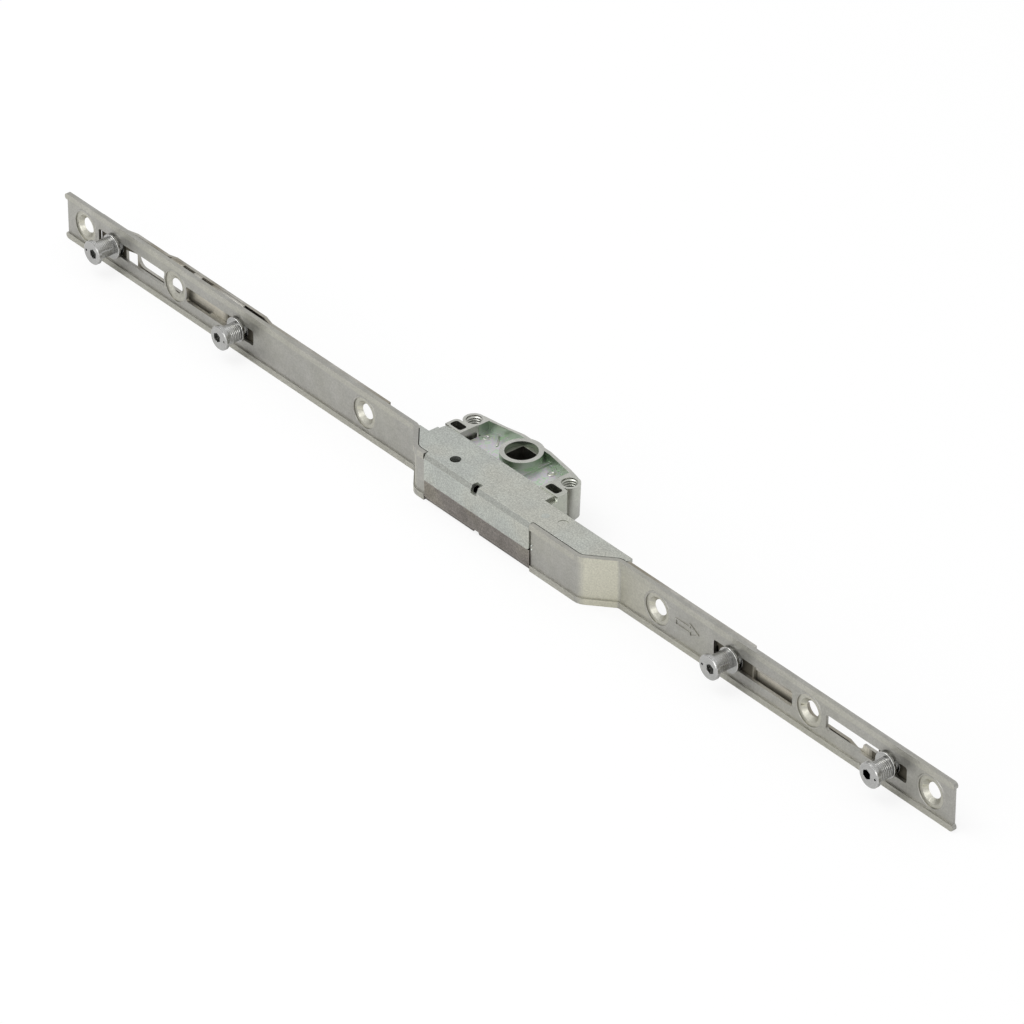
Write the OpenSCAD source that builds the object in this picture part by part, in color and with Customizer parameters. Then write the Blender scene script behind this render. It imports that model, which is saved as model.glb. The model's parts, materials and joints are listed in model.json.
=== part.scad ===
// Window espagnolette: cranked faceplate, gearbox and two drive rods that run opposite ways.
// X runs along the faceplate, -Y is the front that the cams stand on, +Z is the handle side.
// The origin is on the spindle axis, halfway up the faceplate.

/* [Faceplate] */
// Length of the faceplate
plate_l = 400; // [396:1:440]
// Height of the faceplate
plate_h = 16; // [15.5:0.5:18]
// Thickness of the faceplate at its edge beads
plate_t = 1.5; // [1.4:0.05:1.8]
// Depth of the web behind the edge beads
web_recess = 0.5; // [0.3:0.05:0.7]
// Height of each edge bead
bead_h = 2; // [1.5:0.1:2.4]
// Distance that the edge beads stand out past the web at each end
bead_end = 0.65; // [0.3:0.05:1]
// Distance from the spindle axis to the front of the faceplate
backset = 15; // [14.9:0.05:15.2]
// Distance that the middle of the faceplate stands forward
bulge_d = 7.5; // [7.4:0.1:9]
// Left bend of the raised middle
bulge_l = 22; // [21.5:0.1:24]
// Right bend of the raised middle
bulge_r = 52; // [51.5:0.1:56]
// Length of each slanted crank along X
crank_run = 8.8; // [7:0.1:12]
// Radius of the bend onto the raised middle
bend_out_r = 5; // [2.5:0.1:6]
// Radius of the bend at the foot of each crank
bend_in_r = 1.5; // [1.2:0.1:3]

/* [Screw holes] */
// Distance of the end screws from each end of the faceplate
end_screw = 9.5; // [8:0.1:12]
// Places of the other screws along X
screw_x = [-145.5, -54.5, 77, 141];
// Diameter of each screw hole
screw_d = 5.2; // [4:0.1:5.6]
// Diameter of the pressed dish round each screw hole
dish_d = 10.4; // [9:0.1:11]
// Depth of the flat step of the dish
dish_step = 0.3; // [0.1:0.05:0.4]
// Length of the straight part of each screw hole
screw_land = 0.3; // [0.2:0.05:0.4]

/* [Cams] */
// Places of the four cams along X at rest
cam_x = [-177, -114, 107.8, 174.1];
// Travel of each drive rod
stroke = 18; // [17.8:0.05:18.2]
// Height of the slots in the faceplate
slot_h = 5.2; // [4.6:0.1:6]
// Room in a slot on the near side of a cam
slot_near = 6.7; // [5:0.1:8]
// Room in a slot past the end of the travel
slot_far = 8.2; // [5:0.1:9]
// Diameter of a cam head
cam_head_d = 7.8; // [7:0.1:10]
// Thickness of a cam head
cam_head_t = 1.2; // [0.8:0.1:2]
// Diameter of a cam neck
cam_neck_d = 5.7; // [4.5:0.1:5.9]
// Height of a cam head over the front of the faceplate
cam_h = 7.4; // [6:0.1:9]
// Offset of a cam from the pin that it turns on
cam_throw = 0.8; // [0.4:0.1:1]
// Diameter of the flange under a cam
flange_d = 8; // [7.6:0.1:9]

/* [Rods] */
// Thickness of a drive rod
rod_t = 1; // [0.9:0.02:1]
// Gap between parts that slide on each other
slide_gap = 0.05; // [0.03:0.01:0.06]

/* [Gearbox] */
// Width across flats of the spindle hole
spindle_af = 7; // [6:0.1:7]
// Diameter of the nut in its bearings
nut_d = 11.2; // [11:0.05:11.3]
// Bore of the collar round the spindle
collar_d = 10; // [9:0.1:10.4]
// Outer diameter of the collar
collar_od = 13; // [12.6:0.1:13.4]
// Distance between the two handle screws
handle_pitch = 43; // [42.6:0.1:43.6]
// Core diameter of the threads for the handle screws
thread_d = 4.2; // [3.6:0.1:5]
// Diameter of each handle screw boss
boss_d = 6.7; // [6:0.1:7]
// Sheet thickness of the two shells
sheet_t = 1.2; // [1:0.05:1.3]
// Place of the reversing pinion along X
pinion_x = 30; // [29.6:0.1:30.2]
// Bore of the hollow spacer post
post_bore = 3.4; // [2.6:0.1:3.6]

/* [Hidden] */
$fn = 64;
eps = 0.02;
far = 60;

// Levels through the height
z_top = plate_h / 2;
z_in = z_top - sheet_t;
lip_z = z_top + 0.3;
nut_top = lip_z - 1.5;
web_z = 5.3;
web_t = 1;
sector_z = [0.5, web_z - web_t - 0.25];
cavity_z = [0.2, web_z - web_t];
floor_z = -3;
cover_z = floor_z - sheet_t;
split_z = -1;
edge_in = z_in - 0.2;
edge_out = z_top - 0.1;
edge_low = z_top - 1;
mid_gap = 0.3;
rod_tongue_z = 2.6;
boss_z = floor_z - 0.3;
pocket_z = 1.3;
deep_z = 1.5;
platform_h = 0.5;

// Depths from the spindle axis towards the front, so y = -depth
back_d = backset - plate_t;
lay1 = [back_d - slide_gap - rod_t, back_d - slide_gap];
lay2 = [lay1[0] - slide_gap - rod_t, lay1[0] - slide_gap];
raised_d = backset + bulge_d;
raised_back = raised_d - plate_t;
web_front = backset - web_recess;
shell_rear = 7.7;
tongue_rear = lay2[0] - 0.25;
upstand_d = lay2[0] - 0.15;
bar_d = upstand_d - 1;

// Main stage: a toothed sector on the nut drives rack A
turn = 90;
nut_teeth = 18;
pressure = 25;
nut_pitch = 4 * stroke / nut_teeth;
nut_r = nut_pitch * nut_teeth / (2 * PI);
nut_add = 0.85;
nut_ded = 1.1;
sector_teeth = 6;
tooth_step = 360 / nut_teeth;
rack_add = 0.9;
rack_ded = 1.1;
nut_play = 0.16;
rack_a_back = nut_r + rack_ded;
rack_a_front = rack_a_back + 1.85;
rack_a_teeth = 7;

// Second stage: the reversing pinion drives rack B from rack A
pin_teeth = 8;
pin_pitch = 2;
pin_r = pin_pitch * pin_teeth / (2 * PI);
pin_add = 0.6;
pin_ded = 0.6;
prack_add = 0.45;
prack_ded = 0.75;
pin_play = 0.1;
pin_teeth_span = 12;
pin_line_a = lay2[0] + 1.35 + prack_ded;
pinion_d = pin_line_a + pin_r;
pin_line_b = pinion_d + pin_r;
rack_b_front = raised_back - 0.1;
axle_r = 1.2;
run_gap = 0.04;

// Casing outline
cas_l = -17;
cas_r = 30.2;
end_gap = 0.25;
side_gap = 0.3;
cas_left = -25.6;
cas_rear_left = -24.8;
cas_right = 23.8;
tongue_x = bulge_r + crank_run + 1.5;
box_half = 25.3;
box_round = 1.6;
block_rear = 3.2;
fold_in = 0.8;
fold_down = 1.6;
fold_turn = atan(fold_in / fold_down);
fold_back = fold_in + sheet_t * tan(45 - fold_turn / 2);
tab_t = 1;
tab_l = 8;
post_r = post_bore / 2 + 0.7;
post_x = -9;
post_d = rack_a_front + 0.4 + post_r;
boss_x = handle_pitch / 2;
boss_draft = 0.4;
recess_x = [-18.2, 17.6];
platform_x = [-9, 7.3];
pocket_x = [[-24.4, -19.5], [18.5, 23.7]];
pocket_d = [4.1, 7];
deep_x = [[-18.5, -17.2], [15.8, 17.5]];

// Rod ends and steps at rest
rod_a_l = cam_x[0] - 6.5;
rod_a_r = cam_x[2] + 9;
rod_b_l = cam_x[1] - 6;
rod_b_r = cam_x[3] + 6.4;
foot_half = 5.8;
foot_z = 5;
ramp = 4;
clear_a = [cam_x[0] + 9.5, cam_x[1] + 9.5];
rise_x = clear_a[0] + 15.5;
clear_b = [cam_x[2] - 6.8, cam_x[2] + 47.2];
clear_pin = [pinion_x - 3.5, pinion_x + stroke + 3.5];
strip_a_end = -nut_pitch * 5.5 - 1.6;
rack_a_l = strip_a_end - 4.6;
strip_a_start = pinion_x + 9.7;
notch_r = 3.2;
bend_steps = 6;
rivet_r = 0.8;
rivet_a_z = [1.9, 4.9];
rack_b_l = pinion_x - 18;
rack_b_r = bulge_r - 1.8;
rivet_b_x = [rack_b_l + 2.5, rack_b_l + 9];
rivet_b_z = -3.4;
rivet_b_r = 1;
shell_rivet = [boss_x - 4.5, -1.8];
cover_rivet = [boss_x - 7, shell_rear - 0.7];
fastener_r = 1;

function unit(v) = v / norm(v);
function left_of(v) = [-v[1], v[0]];
function turned(v, a) = [v[0] * cos(a) - v[1] * sin(a), v[0] * sin(a) + v[1] * cos(a)];
function flip(list) = [for (i = [len(list) - 1:-1:0]) list[i]];

// Points round the corner b, moved sideways by off, with radius r on the line itself
function corner(a, b, c, r, off) =
    let (d1 = unit(b - a), d2 = unit(c - b), bend = asin(d1[0] * d2[1] - d1[1] * d2[0]),
        side = sign(bend), start = b - d1 * r * tan(abs(bend) / 2),
        centre = start + side * left_of(d1) * r, arm = (start - centre) * (r - side * off) / r)
    [for (k = [0:bend_steps]) centre + turned(arm, bend * k / bend_steps)];

// A line of points with rounded corners, moved sideways by off
function path(p, radii, off) = concat(
    [p[0] + left_of(unit(p[1] - p[0])) * off],
    [for (i = [1:len(p) - 2]) each corner(p[i - 1], p[i], p[i + 1], radii[i - 1], off)],
    [p[len(p) - 1] + left_of(unit(p[len(p) - 1] - p[len(p) - 2])) * off]);

// Closed outline with every corner rounded by its own radius
function rounded(p, radii) = let (n = len(p)) [for (i = [0:n - 1])
    each radii[i] > 0 ? corner(p[(i + n - 1) % n], p[i], p[(i + 1) % n], radii[i], 0) : [p[i]]];

left_line = [[-plate_l / 2, -backset], [-bulge_l - crank_run, -backset], [-bulge_l, -raised_d],
    [cas_l - end_gap, -raised_d]];
right_line = [[cas_r + end_gap, -raised_d], [bulge_r, -raised_d], [bulge_r + crank_run, -backset],
    [plate_l / 2, -backset]];
left_bends = [bend_in_r, bend_out_r];
right_bends = [bend_out_r, bend_in_r];

// Angle between an involute's start and its point at radius r, in degrees
function inv_at(r, base) = let (a = acos(min(1, base / r))) tan(a) * 180 / PI - a;

// Outline of one gear tooth that points along +X and stands on the radius foot_r
function tooth(r, pitch, add, foot_r, play) =
    let (base = r * cos(pressure), half = (pitch - play) / (4 * PI * r) * 180 + inv_at(r, base),
        radii = [for (k = [0:5]) base + (r + add - base) * k / 5],
        flank = [for (q = radii) [q, half - inv_at(q, base)]],
        side = concat([[foot_r, half]], flank))
    concat([for (s = side) [s[0] * cos(s[1]), s[0] * sin(s[1])]],
        flip([for (s = side) [s[0] * cos(s[1]), -s[0] * sin(s[1])]]));

// Outline of one rack tooth whose tip points along +Y from the pitch line
function rack_tooth(pitch, add, ded, play) =
    let (half = (pitch - play) / 4, tip = half - add * tan(pressure),
        root = half + ded * tan(pressure))
    [[-root, -ded - eps], [root, -ded - eps], [tip, add], [-tip, add]];

module slab(z0, z1) {
    translate([0, 0, z0]) linear_extrude(z1 - z0) children();
}

// Rectangle in X and depth
module area(x0, x1, d0, d1) {
    translate([x0, -d1]) square([x1 - x0, d1 - d0]);
}

// Box in X, depth and Z
module block(x0, x1, d0, d1, z0, z1) {
    translate([x0, -d1, z0]) cube([x1 - x0, d1 - d0, z1 - z0]);
}

// Round bar along the depth, from depth d0 to d1
module bar(x, z, d0, d1, r) {
    translate([x, -d0, z]) rotate([90, 0, 0]) cylinder(h = d1 - d0, r = r);
}

// Upright round bar
module post(x, d, z0, z1, r) {
    translate([x, -d, z0]) cylinder(h = z1 - z0, r = r);
}

// Slot along X with round ends
module stadium(x0, x1, z, d0, d1, r) {
    bar(x0 + r, z, d0, d1, r);
    bar(x1 - r, z, d0, d1, r);
    block(x0 + r, x1 - r, d0, d1, z - r, z + r);
}

// Slot with small round corners
module slot(x0, x1, half, d0, d1, r) {
    block(x0 + r, x1 - r, d0, d1, -half, half);
    block(x0, x1, d0, d1, -half + r, half - r);
    for (x = [x0 + r, x1 - r], z = [-half + r, half - r]) bar(x, z, d0, d1, r);
}

module screw_hole(x) {
    dish_base = web_front - dish_step;
    cone_start = back_d + screw_land;
    bar(x, 0, back_d - 1, backset + 1, screw_d / 2);
    bar(x, 0, dish_base, backset + 1, dish_d / 2);
    translate([x, -cone_start, 0]) rotate([90, 0, 0])
        cylinder(h = dish_base - cone_start + eps, r1 = screw_d / 2, r2 = dish_d / 2 - 1);
}

// Slot for a cam that starts at x and travels towards dir
module cam_slot(x, dir) {
    near = x - dir * slot_near;
    end = x + dir * (stroke + slot_far);
    slot(min(near, end), max(near, end), slot_h / 2, back_d - 1, backset + 1, 0.8);
}

// Cut that leaves the two edge beads standing out past the web at an end of the strip
module end_cut(dir) {
    lobe = bead_h / 2 + 0.15;
    mirror([dir < 0 ? 1 : 0, 0, 0]) translate([plate_l / 2, 0, 0]) {
        block(-bead_end, 1, back_d - 1, backset + 1, 2 * lobe - z_top, z_top - 2 * lobe);
        for (z = [lobe - z_top, z_top - lobe]) difference() {
            block(-lobe, 1, back_d - 1, backset + 1, z - lobe - eps, z + lobe + eps);
            bar(-lobe, z, back_d - 2, backset + 2, lobe);
        }
    }
}

// Strip with edge beads that follows a bent line
module beaded_strip(line, bends) {
    difference() {
        slab(-z_top, z_top) polygon(concat(path(line, bends, 0), flip(path(line, bends, plate_t))));
        slab(-z_top + bead_h, z_top - bead_h)
            polygon(concat(path(line, bends, -1), flip(path(line, bends, web_recess))));
    }
}

// Welded tab that laps behind the casing's front wall
module lap_tab(x0, x1, z0, z1) {
    block(x0, x1, raised_d - sheet_t - tab_t, raised_d - sheet_t, z0, z1);
}

module faceplate_left() {
    color([0.68, 0.67, 0.64]) difference() {
        union() {
            beaded_strip(left_line, left_bends);
            lap_tab(cas_l - 2.2, cas_l + tab_l, -5, 5.6);
        }
        end_cut(-1);
        for (x = [-plate_l / 2 + end_screw, screw_x[0], screw_x[1]]) screw_hole(x);
        cam_slot(cam_x[0], 1);
        cam_slot(cam_x[1], -1);
    }
}

module faceplate_right() {
    color([0.68, 0.67, 0.64]) difference() {
        union() {
            beaded_strip(right_line, right_bends);
            lap_tab(cas_r - tab_l, cas_r + 2.2, 1.2, 5.6);
        }
        end_cut(1);
        for (x = [screw_x[2], screw_x[3], plate_l / 2 - end_screw]) screw_hole(x);
        cam_slot(cam_x[2], 1);
        cam_slot(cam_x[3], -1);
    }
}

// Outline shared by both shells, behind the fold of the front wall
module shell_area(rear, right) {
    off = plate_t + side_gap;
    slant = unit([crank_run, -bulge_d]);
    foot = [-bulge_l - crank_run, -backset];
    wedge_d = lay1[1] + 0.15;
    along = (foot[1] + left_of(slant)[1] * off + wedge_d) / -slant[1];
    left_rim = path([foot + slant * along, [-bulge_l, -raised_d], [cas_l, -raised_d]],
        [bend_out_r], off);
    right_rim = path([[cas_r, -raised_d], [bulge_r, -raised_d], [bulge_r + crank_run, -backset],
        [tongue_x, -backset]], right_bends, off);
    rear_corner = rear < bar_d ? concat(corner([right, -rear], [cas_rear_left, -rear],
        [cas_rear_left, -bar_d], box_round, 0), [[cas_rear_left, -bar_d]]) : [];
    polygon(concat([[cas_l, -raised_d + fold_back], [cas_r, -raised_d + fold_back]], right_rim,
        [[tongue_x, -tongue_rear], [right, -tongue_rear], [right, -rear]], rear_corner,
        [[cas_left, -bar_d], [cas_left, -wedge_d]], left_rim));
}

// Front wall with its flat fold, from the plate at z_top down to z0
module front_wall(z0) {
    inner_z = z_top - fold_down - sheet_t * tan(fold_turn / 2);
    translate([cas_l, 0, 0]) rotate([90, 0, 90]) linear_extrude(cas_r - cas_l)
        polygon([[-raised_d, z0], [-raised_d, z_top - fold_down], [-raised_d + fold_in, z_top],
            [-raised_d + fold_back + eps, z_top], [-raised_d + fold_back + eps, z_in],
            [-raised_d + fold_back, z_in], [-raised_d + sheet_t, inner_z],
            [-raised_d + sheet_t, z0]]);
}

module top_shell() {
    corner_r = 3;
    window_x = [4.2, 6.8];
    window_z = 2.7;
    dimple = [36, 14.6];
    color([0.74, 0.76, 0.73]) difference() {
        union() {
            slab(z_in, z_top) shell_area(shell_rear, cas_right);
            front_wall(split_z);
        }
        difference() {
            block(cas_r - corner_r, cas_r + 1, raised_d - sheet_t - 1, raised_d + 1,
                split_z - 1, split_z + corner_r);
            bar(cas_r - corner_r, split_z + corner_r, raised_d - sheet_t - 1, raised_d + 1, corner_r);
        }
        block(window_x[0], window_x[1], raised_d - window_z, raised_d + 1,
            z_top - window_z, z_top + 1);
        difference() {
            post(dimple[0], dimple[1], z_top - 0.3, z_top + 1, 1.6);
            post(dimple[0] + 0.3, dimple[1] + 0.4, z_top - 1, z_top + 2, 1.6);
        }
        post(post_x, post_d, z_in - 1, z_top + 1, post_r - 0.35);
        post(pinion_x, pinion_d, z_in - 1, z_top + 1, axle_r);
    }
}

module lower_shell() {
    notch = 1.6;
    color([0.48, 0.46, 0.44]) difference() {
        union() {
            slab(-z_top, -z_in) shell_area(bar_d, box_half);
            mirror([0, 0, 1]) front_wall(-split_z + 0.1);
            block(cas_left, box_half, bar_d, upstand_d, -z_top, -0.5);
        }
        block(5.9 - notch / 2, 5.9 + notch / 2, raised_d - 1.8, raised_d + 1, -z_top - 1, 0.8 - z_top);
        post(post_x, post_d, -z_top - 1, 1 - z_in, post_r - 0.35);
        post(pinion_x, pinion_d, -z_top - 1, 1 - z_in, axle_r);
        for (s = [-1, 1]) bar(s * shell_rivet[0], shell_rivet[1], bar_d - 1, upstand_d + 1, fastener_r);
    }
}

module spacer_post() {
    color([0.66, 0.66, 0.62]) difference() {
        union() {
            post(post_x, post_d, -z_in, z_in, post_r);
            post(post_x, post_d, -z_top, z_top, post_r - 0.35);
        }
        post(post_x, post_d, -z_top - 1, z_top + 1, post_bore / 2);
    }
}

module pinion_axle() {
    color([0.66, 0.66, 0.66]) post(pinion_x, pinion_d, -z_top, z_top, axle_r);
}

module shell_rivets() {
    color([0.6, 0.6, 0.6]) for (s = [-1, 1])
        bar(s * shell_rivet[0], shell_rivet[1], bar_d - 1.5, upstand_d, fastener_r);
}

module cover_rivets() {
    color([0.6, 0.6, 0.6]) for (s = [-1, 1]) {
        post(s * cover_rivet[0], cover_rivet[1], cover_z, floor_z + 1.6, fastener_r);
        post(s * cover_rivet[0], cover_rivet[1], cover_z - 0.5, cover_z, 1.7 * fastener_r);
    }
}

// Plan outline of the die-cast housing
module housing_area() {
    r = 1.2;
    wall = boss_d / 2;
    polygon(rounded([[-box_half, -bar_d], [box_half, -bar_d], [box_half, -block_rear],
        [boss_x, -block_rear], [boss_x + 0.4, wall], [16.8, 4.5], [6, 6.1], [-6, 6.1],
        [-12.9, 4.6], [-boss_x - 0.4, wall], [-boss_x, -block_rear], [-box_half, -block_rear]],
        [0, 0, box_round, 0, r, r, r, r, r, r, 0, box_round]));
    circle(r = collar_od / 2 + 0.3);
}

// Plan outline of a pocket in a block, from x[0] to x[1]
module pocket_area(x) {
    r = 0.9;
    polygon(rounded([[x[0], -pocket_d[1]], [x[1], -pocket_d[1]], [x[1], -pocket_d[0]],
        [x[0], -pocket_d[0]]], [r, r, r, r]));
}

module boss_circles() {
    for (s = [-1, 1]) translate([s * boss_x, 0]) circle(r = boss_d / 2);
}

// Shallow recess between the blocks, the rear wall and the collar
module recess_area() {
    difference() {
        polygon([[recess_x[0], -shell_rear], [recess_x[1], -shell_rear], [recess_x[1], 3.2],
            [6.8, 4.9], [-6.8, 4.9], [recess_x[0], 2.8]]);
        circle(r = collar_od / 2);
        boss_circles();
    }
}

// Handle screw boss with a draft and a chamfered foot
module boss(x) {
    chamfer = 0.6;
    foot_r = boss_d / 2 - boss_draft;
    translate([x, 0, boss_z + chamfer])
        cylinder(h = lip_z - boss_z - chamfer, r1 = foot_r, r2 = boss_d / 2);
    translate([x, 0, boss_z]) cylinder(h = chamfer, r1 = foot_r - chamfer, r2 = foot_r);
}

module gearbox_housing() {
    sweep_r = nut_r + nut_add + 0.3;
    wall_y = 3.6;
    color([0.62, 0.66, 0.58]) difference() {
        union() {
            slab(floor_z, lip_z) housing_area();
            for (s = [-1, 1]) boss(s * boss_x);
        }
        slab(web_z + platform_h, lip_z + 1) recess_area();
        slab(web_z, lip_z + 1) difference() {
            recess_area();
            area(platform_x[0], platform_x[1], -far, far);
        }
        for (x = pocket_x) slab(pocket_z, lip_z + 1) pocket_area(x);
        for (x = deep_x) slab(deep_z, lip_z + 1) difference() {
            area(x[0], x[1], 1, shell_rear);
            boss_circles();
        }
        slab(z_in, lip_z + 1) area(-far, far, shell_rear, far);
        slab(cavity_z[0], cavity_z[1]) intersection() {
            circle(r = sweep_r);
            area(-far, far, -wall_y, far);
        }
        post(0, 0, floor_z - 1, nut_top + slide_gap, nut_d / 2 + run_gap);
        post(0, 0, nut_top, lip_z + 1, collar_d / 2);
        for (s = [-1, 1]) {
            post(s * boss_x, 0, boss_z - 1, lip_z + 1, thread_d / 2);
            bar(s * shell_rivet[0], shell_rivet[1], bar_d - 1.5, bar_d + 1, fastener_r);
            post(s * cover_rivet[0], cover_rivet[1], floor_z - 1, floor_z + 1.6, fastener_r);
        }
    }
}

module bottom_cover() {
    color([0.5, 0.48, 0.46]) difference() {
        slab(cover_z, floor_z) housing_area();
        post(0, 0, cover_z - 1, floor_z + 1, nut_d / 2 + run_gap);
        for (s = [-1, 1]) {
            post(s * boss_x, 0, cover_z - 1, floor_z + 1, boss_d / 2 - boss_draft + 0.05);
            post(s * cover_rivet[0], cover_rivet[1], cover_z - 1, floor_z + 1, fastener_r);
        }
    }
}

module spindle_nut() {
    first = -90;
    body_r = nut_r - nut_ded;
    color([0.55, 0.56, 0.55]) difference() {
        union() {
            post(0, 0, cover_z + 0.1, nut_top, nut_d / 2);
            slab(sector_z[0], sector_z[1]) {
                intersection() {
                    circle(r = body_r);
                    polygon(concat([[0, 0]], [for (k = [0:sector_teeth])
                        turned([2 * nut_r, 0], first + tooth_step * (0.275 - k * 0.925))]));
                }
                for (k = [0:sector_teeth - 1]) rotate(first - k * tooth_step)
                    polygon(tooth(nut_r, nut_pitch, nut_add, body_r - 0.3, nut_play));
            }
        }
        slab(cover_z - 1, nut_top + 1) square(spindle_af, center = true);
    }
}

module reversing_pinion() {
    z_half = z_in - 0.3;
    one_tooth = tooth(pin_r, pin_pitch, pin_add, pin_r - pin_ded, pin_play);
    color([0.6, 0.6, 0.58]) translate([pinion_x, -pinion_d, 0]) difference() {
        slab(-z_half, z_half) polygon([for (k = [0:pin_teeth - 1], p = one_tooth)
            turned(p, 90 - k * 360 / pin_teeth)]);
        translate([0, 0, -far]) cylinder(h = 2 * far, r = axle_r + run_gap);
    }
}

// Strip that lies against the faceplate between x0 and x1, and steps back over each span
module stepped_strip(x0, x1, z0, z1, spans) {
    inner = [for (s = spans) each [[s[0] - ramp, 0], [s[0], 1], [s[1], 1], [s[1] + ramp, 0]]];
    steps = concat([[x0, 0]], inner, [[x1, 0]]);
    back = lay1[0] - lay2[0];
    slab(z0, z1) polygon(concat(
        [for (s = steps) [s[0], -lay1[1] + back * s[1]]],
        flip([for (s = steps) [s[0], -lay1[0] + back * s[1]]])));
}

// Foot of a rod that carries a cam
module foot(x0, x1, z0, z1) {
    block(x0, x1, lay1[0], lay1[1], z0, z1);
}

// Side of its neutral place on which a cam's pin lies
function throw_dir(i) = i % 2 == 0 ? 1 : -1;
function pivot_x(i) = cam_x[i] + throw_dir(i) * cam_throw;

module bush_seat(i) {
    bar(pivot_x(i), 0, lay1[0] - 1, lay1[1] + 1, flange_d / 2 - 0.5);
}

module rod_a_strip(x0, x1, z1, spans) {
    stepped_strip(x0, x1, mid_gap, z1, spans);
}

// Upper part of rod A's left half, which rises from the low edge to the outer edge at rise_x
module rod_a_rise(x1) {
    intersection() {
        rod_a_strip(rod_a_l, x1, edge_out, [clear_a]);
        translate([0, -lay2[0] + 1, 0]) rotate([90, 0, 0]) linear_extrude(4)
            polygon([[rod_a_l - 1, 0], [x1 + 1, 0], [x1 + 1, edge_out], [rise_x + ramp, edge_out],
                [rise_x, edge_low], [rod_a_l - 1, edge_low]]);
    }
}

// Room for a faceplate screw in a rod that travels towards dir
module screw_room(x, dir) {
    stadium(min(x, x - dir * stroke) - notch_r, max(x, x - dir * stroke) + notch_r, 0,
        lay2[0] - 1, lay1[1] + 1, notch_r);
}

module drive_rod_a_left() {
    high_end = cas_left - stroke - 1;
    color([0.7, 0.7, 0.67]) difference() {
        union() {
            rod_a_rise(high_end);
            rod_a_strip(high_end - eps, strip_a_end, edge_in, []);
            foot(rod_a_l, cam_x[0] + foot_half, -foot_z, edge_low);
            block(clear_a[0] + 0.5, clear_a[1] - 2.5, lay2[0], lay2[1], -edge_in, mid_gap + eps);
        }
        for (x = [screw_x[0], screw_x[1]]) screw_room(x, 1);
        bush_seat(0);
        for (z = rivet_a_z) bar(strip_a_end - 2.3, z, lay1[0] - 1, lay1[1] + 1, rivet_r);
    }
}

module drive_rod_a_right() {
    high_start = tongue_x + 0.4;
    color([0.7, 0.7, 0.67]) difference() {
        union() {
            rod_a_strip(strip_a_start, high_start, edge_in, []);
            rod_a_strip(high_start - eps, rod_a_r, edge_out, []);
            foot(cam_x[2] - foot_half, rod_a_r, -foot_z, edge_out);
        }
        screw_room(screw_x[2], 1);
        bush_seat(2);
        for (z = rivet_a_z) bar(strip_a_start + 2.3, z, lay1[0] - 1, lay1[1] + 1, rivet_r);
    }
}

module rack_a() {
    teeth_end = pinion_x + 4;
    joint_l = strip_a_end + 0.1;
    neck_x = 6.5;
    color([0.58, 0.58, 0.56]) difference() {
        union() {
            slab(mid_gap + 0.1, edge_in) {
                area(rack_a_l, joint_l, lay1[1], rack_a_front);
                area(joint_l - eps, neck_x, rack_a_back, rack_a_front);
                area(neck_x - eps, pinion_x - 22, lay2[0], rack_a_front);
                area(pinion_x - 22 - eps, strip_a_start - 0.1, lay2[0], pin_line_a - prack_ded);
                area(strip_a_start - 0.2, strip_a_start + 5.6, lay2[0], lay2[1]);
                for (k = [0:pin_teeth_span]) translate([pinion_x + pin_pitch * (1.5 - k), -pin_line_a])
                    mirror([0, 1]) polygon(rack_tooth(pin_pitch, prack_add, prack_ded, pin_play));
            }
            slab(sector_z[0] - 0.1, sector_z[1] + 0.1)
                for (k = [0:rack_a_teeth - 1]) translate([nut_pitch * (0.5 - k), -nut_r])
                    polygon(rack_tooth(nut_pitch, rack_add, rack_ded, nut_play));
        }
        for (z = rivet_a_z) {
            bar(strip_a_end - 2.3, z, lay1[0], rack_a_front + 1, rivet_r);
            bar(strip_a_start + 2.3, z, lay2[0] - 1, lay1[1], rivet_r);
        }
    }
}

module rod_a_rivets() {
    color([0.6, 0.6, 0.6]) for (z = rivet_a_z) {
        bar(strip_a_end - 2.3, z, lay1[0], rack_a_front, rivet_r);
        bar(strip_a_start + 2.3, z, lay2[0], lay1[1], rivet_r);
    }
}

module drive_rod_b() {
    low_l = cas_left - 1;
    low_r = tongue_x + stroke + 0.4;
    color([0.7, 0.7, 0.67]) difference() {
        union() {
            stepped_strip(rod_b_l, low_l, -edge_out, -mid_gap, []);
            stepped_strip(low_l - eps, low_r, -edge_in, -mid_gap, [clear_pin]);
            stepped_strip(low_r - eps, rod_b_r, -edge_out, -mid_gap, [clear_b]);
            foot(rod_b_l, cam_x[1] + foot_half, -edge_out, foot_z);
            foot(rod_b_l - 10, rod_b_l + eps, -edge_out, -rod_tongue_z);
            foot(cam_x[3] - foot_half, rod_b_r, -edge_out, foot_z);
        }
        for (x = [screw_x[1], screw_x[2], screw_x[3]]) screw_room(x, -1);
        bush_seat(1);
        bush_seat(3);
        for (x = rivet_b_x) bar(x, rivet_b_z, lay1[0] - 1, lay1[1] + 1, rivet_b_r);
    }
}

module rack_b() {
    root = pin_line_b + prack_ded;
    block_r = pinion_x - 6.5;
    teeth = floor((rack_b_r - pinion_x) / pin_pitch + 2);
    relief = [rivet_b_x[0] + 3.2, raised_back - 4];
    color([0.58, 0.58, 0.56]) difference() {
        slab(-edge_in, -mid_gap - 0.1) {
            difference() {
                area(rack_b_l, block_r, lay1[1], rack_b_front);
                translate([relief[0], -relief[1]]) circle(r = 2);
            }
            polygon([[block_r - eps, -rack_b_front], [rack_b_r - 1.6, -rack_b_front],
                [rack_b_r, -root - 0.7], [rack_b_r, -root], [block_r - eps, -root]]);
            for (k = [0:teeth - 1]) translate([pinion_x + pin_pitch * (k - 1.5), -pin_line_b])
                polygon(rack_tooth(pin_pitch, prack_add, prack_ded, pin_play));
        }
        for (x = rivet_b_x) bar(x, rivet_b_z, lay1[1] - 1, lay1[1] + 1.8, rivet_b_r);
    }
}

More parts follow.
